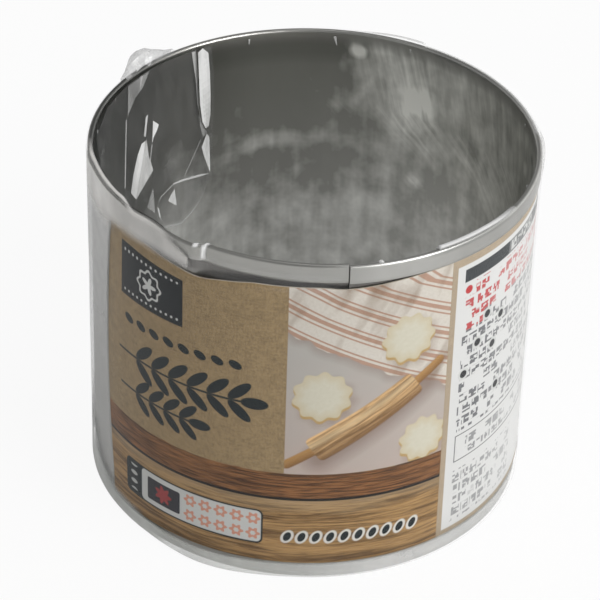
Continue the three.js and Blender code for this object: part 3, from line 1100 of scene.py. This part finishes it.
class RimFilm:
    """Sizes of film that goes up the outside, over the rim and down inside."""

    # Heights on the sheet: of its close rows at the foot, of the hem's foot and of the hem's middle.
    FOOT_LINE = 4.6 * MM
    HEM_FOOT = 44 * MM
    HEM_MIDDLE = 48.2 * MM
    # Share of the ring's height from which the film follows the dent.
    DENT_FROM = 0.85

    def __init__(self, lip, slack=0.0):
        steel = settings().steel
        film = settings().film
        self.half = film.film / 2
        clear = film.clearance + self.half + slack
        self.outside = HEM_RADIUS + clear
        self.fold_radius = (self.outside - bore_radius() + clear) / 2
        self.fold_height = RING_HEIGHT - steel.sheet - steel.fold_gap / 2
        self.over = math.pi * self.fold_radius
        self.end = self.fold_height + self.over + lip
        self.top = (self.fold_height + self.over / 2) / MM

    def hem_rows(self):
        """Heights up the sheet from the hem's foot to the lip's end, close together round the fold."""
        rows = spaced(self.HEM_FOOT, self.fold_height, 14)
        rows += spaced(self.fold_height, self.fold_height + self.over, 12)[1:]
        return rows + spaced(self.fold_height + self.over, self.end, 3)[1:]

    def all_rows(self, foot):
        """Heights up the sheet from its foot, close together there and round the fold."""
        low = spaced(foot, self.FOOT_LINE, 18)[:-1]
        return low + spaced(self.FOOT_LINE, self.HEM_FOOT, 12)[:-1] + self.hem_rows()

    def rolled(self, name, start, span, columns, rows, shape, finish, slant=0.0):
        """Piece of this film. shape gives a corner's offset and haze from its angle and height."""

        def fill(work):
            milky = work.verts.layers.float.new(HAZE)
            along = spaced(0.0, span * self.outside, columns)
            add_sheet(work, along, rows, (-self.half, self.half), self.half / 4)
            for vert in work.verts:
                vert.co.x -= slant * max(vert.co.y - self.HEM_MIDDLE, 0.0) * vert.co.x / along[-1]
                angle = math.degrees(start + vert.co.x / self.outside)
                offset, haze = shape((angle + 180) % 360 - 180, vert.co.y / MM)
                vert.co.z += offset * MM
                vert[milky] = haze

        return rolled(
            name,
            flat_mesh(name, fill),
            radius=self.outside,
            fold_height=self.fold_height,
            fold_radius=self.fold_radius,
            fold_side=-1.0,
            start=start,
            face_finish=finish,
            edge_finish=finish,
        )

    def raised(self, piece, lifted, from_height):
        """Lifts the film off the rim, from a height on, by mm for each angle, and pushes the dent in."""
        for vert in piece.data.vertices:
            lift = lifted(math.degrees(angle_of(vert.co))) * MM
            vert.co.z += lift * eased(from_height, RING_HEIGHT, vert.co.z)
        push_in(piece, self.DENT_FROM)


class PASTRY_OT_film_skin(bpy.types.Operator):
    """Draws the clear film over the whole outside, from the foot to a lip inside the rim"""

    bl_idname = "pastry_ring.film_skin"
    bl_label = "Film Skin"

    # Angles are in degrees round the axis, heights and offsets in mm.
    START = 179
    GAP = 0.2
    COLUMNS = 720
    FOOT = 0.15 * MM
    LIFT_FROM = 48.5 * MM

    @staticmethod
    def lifted(angle):
        """How far the film stands above the rim: slack at the back right, a step and a tick at the right."""
        slack = 0.42 * within(angle, 149.4, 150.6, 153, 174)
        step = 0.32 * eased(65, 46, angle) if angle > 32.4 else 0.0
        tick = 0.16 if 16.8 < angle < 17.8 else 0.0
        return slack + step + tick

    @staticmethod
    def low_left(angle):
        """1 where the film is loose at the lower left."""
        return bell(angle, -25, 14)

    def offset(self, angle, height):
        """How far the film stands off an even wrap."""
        taper = -0.18 * (1 - min(height / 46, 1.0))
        bulge = 0.85 * self.low_left(angle) * bell(height, 0, 3.2)
        corner = 0.35 * bell(angle, 92, 9) * bell(height, 50.5, 3)
        ripple = 0.05 * noise.noise(Vector((angle * 0.11, height * 0.12, 3.0)))
        return taper + bulge + corner + ripple

    def label_haze(self, angle, height):
        """Haze where the film leaves the label: left of it, below it and at its lower left corner."""
        label = settings().label
        on_card = height - label_low.z / MM
        margin = label.margin - label.bow * bowed(on_card)
        card_edge = math.degrees(label.start - margin / card_radius())
        beside = eased(card_edge + 0.3, card_edge - 0.4, angle) * eased(-150, -120, angle)
        beside *= eased(48, 46, height) * (0.17 + 0.26 * eased(15, 46, height))
        rise = label.skew / MM * (math.radians(angle) - label.start) / label.span
        milky = 0.38 - 0.14 * eased(8, 40, angle) + 0.08 * self.low_left(angle) + 0.4 * eased(-34, -46, angle)
        below = milky * eased(rise + 0.1, rise - 0.3, on_card) * within(angle, -125, -95, 148, 156)
        corner = eased(0, 3.5, 3.7 + 0.17 * max(-58 - angle, 0.0) - height)
        corner *= eased(-122, -76, angle) * eased(-44, -54, angle)
        return max(beside, below, 0.85 * corner)

    def rim_haze(self, angle, height, top):
        """Haze where the film goes over the rim, whose top is given: folds, steps and painted glints."""
        lifted = self.lifted(angle)
        crest = eased(top - 0.5, top - 0.2, height)
        rim = within(height, top - 0.5, top - 0.3, top + 0.1, top + 0.3)
        hem = within(height, 45.8, 46.4, 48.3, 48.9)
        corner = eased(45, 50, height) * eased(top, top - 0.4, height)
        fold = -27.5 + 0.5 * ((height - 48.8) / 1.5) ** 2
        return max(
            crest * min(lifted * 3.0, 0.85) * (angle < 60),
            rim * min(lifted * 4.0, 1.0) * 0.6 * (angle > 149),
            0.3 * rim * within(angle, 94, 98, 149.5, 150.5),
            0.04 * hem * within(angle, -36, -30, 0, 12),
            0.45 * corner * within(angle, 80, 88, 96, 100),
            eased(0.65, 0.2, abs(angle - fold)) * within(height, 48.1, 48.5, top, top + 0.3),
            0.8 * eased(0.6, 0.2, abs(angle + 29.3)) * within(height, top - 0.7, top - 0.4, top, top + 0.2),
        )

    def execute(self, context):
        film = settings().film
        size = RimFilm(film.lip)

        def shape(angle, height):
            haze = max(self.label_haze(angle, height), self.rim_haze(angle, height, size.top))
            return self.offset(angle, height), haze

        skin = size.rolled(
            "film_skin",
            math.radians(self.START),
            2 * math.pi - math.radians(self.GAP),
            self.COLUMNS,
            size.all_rows(self.FOOT),
            shape,
            film_finish("clear film", 0.13, tuple(film.tint)),
        )
        size.raised(skin, self.lifted, self.LIFT_FROM)
        finished(skin, "film", "film_collar")
        return {"FINISHED"}


class PASTRY_OT_film_veil(bpy.types.Operator):
    """Stands the slack film up over the hem at the front left"""

    bl_idname = "pastry_ring.film_veil"
    bl_label = "Film Veil"

    # Angles are in degrees round the axis, heights and offsets in mm.
    FIRST = -88
    LAST = -30.5
    COLUMNS = 240
    SLACK = 0.12 * MM
    SLANT = 1.0
    LIFT_FROM = 47.5 * MM

    @staticmethod
    def lifted(angle):
        """How far the film stands above the rim."""
        return 0.7 * within(angle, -84, -70, -56, -49)

    def haze(self, angle, height, size):
        """How milky the film is: it has slanted ends, a ridge along the rim with a painted highlight and a
        clear line under it.
        """
        beside_card = eased(-56, -62, angle)
        above = eased(45.9, 47.8, height) * (1 - beside_card) + eased(44, 48, height) * beside_card
        lean = math.degrees(self.SLANT * max(height * MM - size.HEM_MIDDLE, 0.0) / size.outside)
        right_end = eased(0, 0.8 + 4.0 * max(height - 48.0, 0.0), self.LAST - lean - angle)
        left_end = eased(-85, -75, angle + 0.8 * (height - 47))
        ridge = size.top - 0.55 * eased(-56, -50, angle)
        out = eased(ridge + 0.3, ridge, height)
        # Painted highlight: the film is milkiest along its ridge.
        body = 0.66 + 0.34 * max(eased(ridge - 0.55, ridge - 0.2, height), beside_card)
        clear_line = within(height, size.top - 0.85, size.top - 0.7, size.top - 0.3, size.top - 0.12)
        clear_line *= 0.8 * eased(-50, -54, angle)
        fold = 0.8 + 0.2 * noise.noise(Vector((angle * 0.16, height * 0.25, 1.0)))
        return fold * body * above * right_end * out * (1 - clear_line) * left_end

    def execute(self, context):
        film = settings().film
        size = RimFilm(film.veil_lip, self.SLACK)
        span = math.radians(self.LAST - self.FIRST)

        def shape(angle, height):
            ripple = 0.10 * noise.noise(Vector((angle * 0.14, height * 0.10, 7.0)))
            return ripple, self.haze(angle, height, size)

        veil = size.rolled(
            "film_veil",
            math.radians(self.FIRST),
            span,
            self.COLUMNS,
            size.hem_rows(),
            shape,
            film_finish("slack film", 0.25, linear(242, 240, 236), bare=0.0),
            self.SLANT,
        )
        size.raised(veil, self.lifted, self.LIFT_FROM)
        flat = (span * size.outside, size.end - size.HEM_FOOT)
        finished(veil, "film", "film_collar")
        return {"FINISHED"}


def crumpled(name, corners, faces, haze, finish, soft=1):
    """Film creased into flat facets, as a closed sheet. haze has a value for each face."""
    work = bmesh.new()
    milky = work.faces.layers.float.new(HAZE)
    verts = [work.verts.new(corner) for corner in corners]
    for face, amount in zip(faces, haze):
        work.faces.new([verts[corner] for corner in face])[milky] = amount
    bmesh.ops.triangulate(work, faces=work.faces[:])
    bmesh.ops.subdivide_edges(work, edges=work.edges[:], cuts=3, use_grid_fill=True)
    inner = [vert for vert in work.verts if not vert.is_boundary]
    axes = dict.fromkeys(("use_axis_x", "use_axis_y", "use_axis_z"), True)
    for _ in range(soft):
        bmesh.ops.smooth_vert(work, verts=inner, factor=0.5, **axes)
    bmesh.ops.recalc_face_normals(work, faces=work.faces[:])
    # The haze, which on the flap's bright facets is painted glare, varies within each face.
    for face in work.faces:
        middle = face.calc_center_median() / MM
        bent = noise.noise(Vector((middle.x * 0.9, middle.y * 0.9, middle.z * 0.16)))
        face[milky] = face[milky] * min(0.88 + 0.5 * bent, 1.0)
    mesh = bpy.data.meshes.new(name)
    work.to_mesh(mesh)
    work.free()
    mesh.materials.append(finish)
    piece = linked(name, mesh)
    wall = piece.modifiers.new("Thickness", "SOLIDIFY")
    wall.thickness = settings().film.film
    wall.offset = 0.0
    return applied(piece, name, 24)


def round_axis(angle, radius, height):
    """Place at an angle in degrees round the axis, in millimetres."""
    turn_by = math.radians(angle)
    return Vector((radius * math.sin(turn_by), -radius * math.cos(turn_by), height)) * MM


def inside_of(polygon, point):
    """True for a point inside a polygon."""
    enclosed = False
    for (x0, y0), (x1, y1) in zip(polygon, polygon[1:] + polygon[:1]):
        if (y0 > point[1]) != (y1 > point[1]) and point[0] < (x1 - x0) * (point[1] - y0) / (y1 - y0) + x0:
            enclosed = not enclosed
    return enclosed


class PASTRY_OT_film_flap(bpy.types.Operator):
    """Hangs the crumpled flap of film inside the ring at the left"""

    bl_idname = "pastry_ring.film_flap"
    bl_label = "Film Flap"

    # Corners are (degrees round the axis, height in mm).
    RIM = (
        (-143, 49.2), (-136, 49.3), (-128, 49.4), (-117, 49.4), (-105, 49.4), (-90, 49.4), (-75, 49.4),
        (-60, 49.2),
    )
    FOOT = (
        (-52, 42), (-58, 37), (-72, 32), (-88, 28), (-104, 25.5), (-118, 24), (-127, 23.2), (-131, 22.6),
        (-135, 21.8), (-140, 21.3), (-144.6, 23.0), (-147.8, 25.4),
    )
    RIGHT = ((-150.6, 28.2), (-150.4, 34.6), (-150.2, 35.4), (-150.5, 38.0), (-150.3, 45.0), (-149.4, 49.2))
    # Facets are (haze, mm off the wall, corners); bright ones are painted glare. First the long bright pleat
    # at the right.
    FACETS = (
        (1.00, 0.8, (
            (-145.7, 48.7), (-147.2, 49.1), (-149.0, 48.2), (-149.6, 45.0), (-149.9, 41.0), (-149.9, 38.0),
            (-149.4, 36.2), (-148.4, 36.0), (-147.3, 37.3), (-146.5, 40.2), (-146.1, 44.4),
        )),
        (0.45, 0.3, (
            (-143.2, 49.2), (-144.6, 49.1), (-145.2, 46.0), (-145.6, 42.0), (-145.9, 39.0), (-145.2, 40.5),
            (-144.6, 44.5),
        )),
        (0.25, 0.5, ((-146.0, 39.4), (-147.0, 36.9), (-148.7, 35.3), (-147.4, 34.6), (-146.3, 36.8))),
        (1.00, 0.9, ((-148.9, 35.0), (-149.7, 34.4), (-150.1, 28.4), (-148.2, 31.2), (-147.2, 33.0))),
        # The broad bright pleat further left, and the slivers round it.
        (1.00, 0.8, (
            (-125.6, 38.4), (-124.4, 36.2), (-123.1, 33.6), (-120.9, 30.0), (-118.2, 31.8), (-119.6, 34.4),
            (-121.8, 37.0), (-123.8, 38.4),
        )),
        (0.60, 0.7, (
            (-126.0, 38.6), (-127.0, 35.8), (-129.0, 32.8), (-124.8, 31.2), (-121.2, 30.0), (-123.4, 33.8),
            (-124.6, 36.4),
        )),
        (0.70, 0.5, ((-126.8, 42.4), (-125.9, 42.2), (-125.0, 39.3), (-125.8, 39.1))),
        (0.95, 0.6, ((-129.0, 40.9), (-131.3, 39.8), (-130.6, 39.0), (-129.2, 38.2), (-128.6, 37.4))),
        (0.40, 0.6, ((-128.4, 37.2), (-128.7, 37.1), (-127.8, 34.4), (-127.5, 34.5))),
        # The dull triangle under the rim, with a crease down from it.
        (0.20, 0.5, ((-117.5, 49.2), (-127.5, 49.2), (-124.5, 47.2), (-121.0, 46.4), (-117.2, 44.6))),
        (0.50, 0.5, ((-116.6, 44.2), (-116.1, 44.1), (-115.1, 33.4), (-115.5, 33.4))),
        # Small facets low down.
        (1.00, 0.9, ((-137.6, 27.8), (-136.3, 27.1), (-135.1, 26.3), (-138.4, 24.8))),
        (1.00, 0.6, ((-130.7, 26.2), (-131.3, 25.9), (-132.3, 23.7), (-131.6, 24.4))),
        (0.30, 0.5, ((-129.0, 29.8), (-127.6, 28.6), (-126.4, 27.2), (-128.4, 26.2), (-129.8, 25.4))),
        # Thin creases, and the flap's pale foot.
        (0.75, 1.0, (
            (-149.8, 28.2), (-147.2, 28.5), (-140.4, 28.8), (-137.0, 28.8), (-137.0, 28.6), (-140.4, 28.5),
            (-147.2, 28.2),
        )),
        (0.45, 0.9, ((-136.8, 28.7), (-132.2, 27.7), (-130.9, 26.7), (-132.3, 27.5), (-136.8, 28.5))),
        (0.22, 0.8, ((-146.9, 34.2), (-146.6, 34.3), (-141.1, 29.3), (-141.4, 29.2))),
        (0.22, 0.3, (
            (-147.8, 25.4), (-144.6, 23.0), (-140, 21.3), (-135, 21.8), (-131, 22.6), (-131, 22.9),
            (-135, 22.1), (-140, 21.6), (-144.6, 23.3),
        )),
        # Nearly clear panes that stand off the wall.
        (0.05, 1.2, ((-139.4, 32.2), (-136.0, 33.4), (-132.6, 32.0), (-134.0, 30.2), (-137.4, 30.4))),
        (0.05, 0.4, ((-146.6, 27.6), (-141.0, 27.9), (-140.2, 23.0), (-144.4, 24.0))),
    )
    # Lumps are (degrees, height in mm, mm off the wall).
    LUMPS = (
        (-134, 32.0, 1.7), (-138, 38, 0.4), (-140, 44, 0.3), (-133, 45, 0.3), (-108, 38, 0.4), (-95, 40, 0.3),
        (-80, 42, 0.3),
    )
    CLEAR_HAZE = 0.03
    OUTLINE_OFF_WALL = 0.25
    GAP = 0.12
    # A corner off the wall is moved by this for each mm, so that the camera still sees it at its place.
    DEGREES_PER_MM = 2.0
    RISE_PER_MM = 0.9

    def execute(self, context):
        bore = bore_radius() / MM
        points = []
        off_wall = []
        edges = []

        def add_ring(corners, off):
            first = len(points)
            count = len(corners)
            points.extend(Vector(corner) for corner in corners)
            off_wall.extend([off] * count)
            edges.extend((first + k, first + (k + 1) % count) for k in range(count))

        outline = self.RIM + self.FOOT + self.RIGHT
        add_ring(outline, self.OUTLINE_OFF_WALL)
        for _, off, corners in self.FACETS:
            add_ring(corners, off)
        for angle, height, off in self.LUMPS:
            points.append(Vector((angle, height)))
            off_wall.append(off)
        flat, _, faces, _, _, _ = geometry.delaunay_2d_cdt(points, edges, [], 0, 1e-4)

        corners = []
        for place in flat:
            off = off_wall[min(range(len(points)), key=lambda k: (points[k] - place).length)]
            angle = place.x + self.DEGREES_PER_MM * off
            corners.append(round_axis(angle, bore - self.GAP - off, place.y + self.RISE_PER_MM * off))
        kept = []
        haze = []
        for face in faces:
            middle = sum((flat[k] for k in face), Vector((0, 0))) / len(face)
            if inside_of(outline, middle):
                kept.append(face)
                amounts = [amount for amount, _, facet in self.FACETS if inside_of(facet, middle)]
                haze.append(max(amounts, default=self.CLEAR_HAZE))
        finish = film_finish("crumpled film", 0.6, linear(254, 254, 253), 0.05)
        flap = crumpled("film_flap", corners, kept, haze, finish, 0)
        finished(flap, "film", "film_tuck")
        return {"FINISHED"}


class PASTRY_OT_film_ear(bpy.types.Operator):
    """Gathers the fold of film that stands up outside the rim at the back left"""

    bl_idname = "pastry_ring.film_ear"
    bl_label = "Film Ear"

    # Paths over the rim, as (radius, height) in mm: at the ends of the fold and in its middle.
    TIGHT = (
        (29.3, 49.9), (29.8, 50.2), (30.2, 50.15), (30.4, 49.8), (30.4, 49.2), (30.4, 47.5), (30.3, 45.5),
    )
    LOOSE = (
        (29.3, 49.9), (29.8, 50.9), (30.6, 51.5), (31.7, 51.3), (32.0, 49.4), (31.3, 47.2), (30.4, 45.0),
    )
    FIRST = -138
    LAST = -118.5
    COLUMNS = 8

    def corner(self, step, row):
        """Crumpled corner in a column and a row of the fold."""
        angle = self.FIRST + (self.LAST - self.FIRST) * step / self.COLUMNS
        swell = within(angle, self.FIRST, self.FIRST + 9, self.LAST - 8, self.LAST)
        out, up, aside = (
            noise.noise(Vector((step * 1.7, row * 1.3, 2.0 + 5.3 * axis))) * swell for axis in range(3)
        )
        tight = Vector(self.TIGHT[row])
        radius, height = tight + (Vector(self.LOOSE[row]) - tight) * swell
        return round_axis(angle + aside * 1.2, radius + out * 0.55, height + up * 0.4)

    def execute(self, context):
        rows = len(self.TIGHT)
        corners = [self.corner(step, row) for step in range(self.COLUMNS + 1) for row in range(rows)]
        faces = []
        haze = []
        for step in range(self.COLUMNS):
            for row in range(rows - 1):
                corner = step * rows + row
                faces.append((corner, corner + rows, corner + rows + 1, corner + 1))
                haze.append(0.10 + 0.5 * max(noise.noise(Vector((step * 0.9, row * 1.9, 5.0))), 0.0))
        finish = film_finish("gathered film", 0.6, tuple(settings().film.tint), 0.06)
        ear = crumpled("film_crest", corners, faces, haze, finish)
        finished(ear, "film", "film_ear")
        return {"FINISHED"}


def pinch_tree():
    """Nodes that set small pinched folds of film along the rim's inner edge."""
    tree = bpy.data.node_groups.new("Pinches along the rim", "GeometryNodeTree")
    kinds = {
        "Radius": "Float",
        "Height": "Float",
        "Count": "Int",
        "Width": "Float",
        "Drop": "Float",
        "Seed": "Int",
        "Finish": "Material",
    }
    for name, kind in kinds.items():
        tree.interface.new_socket(name, in_out="INPUT", socket_type=f"NodeSocket{kind}")
    tree.interface.new_socket("Pinches", in_out="OUTPUT", socket_type="NodeSocketGeometry")
    graph = Graph(tree)
    given = tree.nodes.new("NodeGroupInput")
    sockets = given.outputs[:len(kinds)]
    radius, height, count, width, drop, seed, finish = (Value(graph, socket) for socket in sockets)

    def random(low, high, draw):
        return graph.node(
            "FunctionNodeRandomValue", {"data_type": "FLOAT"}, {2: low, 3: high, "Seed": draw}, output=1
        )

    where = graph.node("GeometryNodeInputIndex") * (2 * math.pi) / count + random(-0.3, 0.3, seed)
    ring = graph.vector(radius * graph.math("SINE", where), -(radius * graph.math("COSINE", where)), height)
    points = graph.node("GeometryNodePoints", sockets={"Count": count, "Position": ring})
    fold = graph.node(
        "GeometryNodeMeshCone",
        {"fill_type": "NGON"},
        {"Vertices": 5, "Radius Top": width * 0.15, "Radius Bottom": width, "Depth": drop},
    )
    hung = graph.node(
        "GeometryNodeTransform",
        sockets={"Geometry": fold, "Rotation": (math.pi, 0, 0), "Scale": (1, 0.4, 1)},
    )
    size = random(0.35, 1.0, seed + 1)
    lean = random(-0.25, 0.25, seed + 2)
    facing = graph.node("FunctionNodeEulerToRotation", sockets={0: graph.vector(0.0, lean, where)})
    scale = graph.vector(size, size, size)
    placed = graph.node(
        "GeometryNodeInstanceOnPoints",
        sockets={"Points": points, "Instance": hung, "Rotation": facing, "Scale": scale},
    )
    whole = graph.node("GeometryNodeRealizeInstances", sockets={"Geometry": placed})
    filmy = graph.node("GeometryNodeSetMaterial", sockets={"Geometry": whole, "Material": finish})
    graph.node("NodeGroupOutput", sockets={0: filmy})
    return tree


class PASTRY_OT_film_pinches(bpy.types.Operator):
    """Sets the small pinched folds of film along the rim"""

    bl_idname = "pastry_ring.film_pinches"
    bl_label = "Film Pinches"

    OFF_WALL = 0.3 * MM
    BELOW_RIM = 0.7 * MM
    WIDTH = 0.28 * MM
    DROP = 1.7 * MM

    def execute(self, context):
        film = settings().film
        pinches = by_nodes(
            "film_pinches",
            bpy.data.meshes.new("film_pinches"),
            pinch_tree(),
            radius=bore_radius() - self.OFF_WALL,
            height=RING_HEIGHT - self.BELOW_RIM,
            count=film.pinches,
            width=self.WIDTH,
            drop=self.DROP,
            seed=film.seed,
            finish=pinch_finish(tuple(film.tint)),
        )
        finished(pinches, "film", "film_collar")
        return {"FINISHED"}


class PASTRY_OT_stage(bpy.types.Operator):
    """Sets the pale floor, the soft light and the camera"""

    bl_idname = "pastry_ring.stage"
    bl_label = "Stage"

    # Square lamps that face the ring's foot, as (name, place in m, side in m, power in W).
    LAMPS = (
        ("key", (0.52, -0.40, 0.48), 0.45, 3.6),
        ("top", (0.0, 0.02, 0.70), 0.30, 0.24),
    )

    def execute(self, context):
        stage = settings().stage
        self.floor(stage)
        self.lamps()
        context.scene.world = self.world()
        context.scene.camera = self.camera(stage)
        context.scene.view_settings.view_transform = "Standard"
        return {"FINISHED"}

    def floor(self, stage):
        """Pale floor, plain white to the camera and paler than it is lit in the steel's mirror."""
        half = stage.floor / 2
        corners = [(-half, -half, 0), (half, -half, 0), (half, half, 0), (-half, half, 0)]
        mesh = bpy.data.meshes.new("floor")
        mesh.from_pydata(corners, [], [(0, 1, 2, 3)])
        finish = Finish("pale floor")
        lit = finish.node("ShaderNodeBsdfDiffuse", sockets={"Color": (0.9, 0.9, 0.9, 1)})
        white = finish.node("ShaderNodeEmission", sockets={"Color": (1, 1, 1, 1), "Strength": 1.0})
        shown = finish.node("ShaderNodeLightPath", output="Is Camera Ray")
        mirrored = finish.node("ShaderNodeLightPath", output="Is Glossy Ray")
        amount = shown * 0.92 + mirrored * 0.22
        mixed = finish.node("ShaderNodeMixShader", sockets={0: amount, 1: lit, 2: white})
        mesh.materials.append(finish.close(mixed))
        linked("floor", mesh)

    def world(self):
        """Room that is bright at the right, less so at the left and low down, and white to the camera."""
        world = bpy.data.worlds.new("studio")
        world.use_nodes = True
        graph = Graph(world.node_tree)
        graph.tree.nodes.clear()
        aside, _, up = graph.parts(graph.node("ShaderNodeTexCoord", output="Generated"))
        right = graph.node("ShaderNodeMapRange", sockets={0: aside, 1: 0.2, 2: 0.85})
        left = graph.node("ShaderNodeMapRange", sockets={0: -aside, 1: 0.3, 2: 0.9})
        low = graph.node("ShaderNodeMapRange", sockets={0: up, 1: 0.55, 2: 0.15})
        room = 0.23 + right * 0.85 + left * 0.22 + low * 0.26
        shown = graph.node("ShaderNodeLightPath", output="Is Camera Ray")
        strength = room + shown * (1 - room)
        shader = graph.node("ShaderNodeBackground", sockets={"Color": (1, 1, 1, 1), "Strength": strength})
        graph.node("ShaderNodeOutputWorld", sockets={"Surface": shader})
        return world

    def lamps(self):
        """Soft lamps, each facing the ring's foot."""
        for name, place, side, power in self.LAMPS:
            data = bpy.data.lights.new(name, "AREA")
            data.size = side
            data.energy = power
            away = Vector(place)
            facing = away.to_track_quat("Z", "Y").to_matrix().to_4x4()
            linked(name, data).matrix_world = Matrix.Translation(away) @ facing

    def camera(self, stage):
        """Camera that sees the ring's foot beside and below the picture's middle."""
        data = bpy.data.cameras.new("camera")
        data.lens = stage.lens / MM
        data.clip_start = 10 * MM
        data.clip_end = 10.0
        level = math.cos(stage.elevation)
        back = Vector((math.sin(stage.pan) * level, -math.cos(stage.pan) * level, math.sin(stage.elevation)))
        facing = back.to_track_quat("Z", "Y").to_matrix() @ Matrix.Rotation(stage.roll, 3, "Z")
        shift = Vector((-stage.aside, stage.below, stage.distance))
        camera = linked("camera", data)
        camera.matrix_world = Matrix.Translation(facing @ shift) @ facing.to_4x4()
        return camera


OPERATORS = (
    PASTRY_OT_stage,
    PASTRY_OT_steel_ring,
    PASTRY_OT_card_label,
    PASTRY_OT_film_skin,
    PASTRY_OT_film_veil,
    PASTRY_OT_film_flap,
    PASTRY_OT_film_ear,
    PASTRY_OT_film_pinches,
)


class PASTRY_PT_sidebar(bpy.types.Panel):
    """Lists the pieces of the wrapped pastry ring"""

    bl_idname = "PASTRY_PT_sidebar"
    bl_label = "Pastry Ring"
    bl_space_type = "VIEW_3D"
    bl_region_type = "UI"
    bl_category = "Pastry Ring"

    def draw(self, context):
        for operator in OPERATORS:
            self.layout.operator(operator.bl_idname)


CLASSES = (
    SteelSettings,
    LabelSettings,
    FilmSettings,
    StageSettings,
    PastryRingSettings,
    *OPERATORS,
    PASTRY_PT_sidebar,
)


def register():
    for kind in CLASSES:
        bpy.utils.register_class(kind)
    bpy.types.Scene.pastry_ring = bpy.props.PointerProperty(type=PastryRingSettings)


def unregister():
    del bpy.types.Scene.pastry_ring
    for kind in reversed(CLASSES):
        bpy.utils.unregister_class(kind)


def main():
    """Builds every piece."""
    register()
    for operator in OPERATORS:
        group, name = operator.bl_idname.split(".")
        getattr(getattr(bpy.ops, group), name)()


if __name__ == "__main__":
    main()
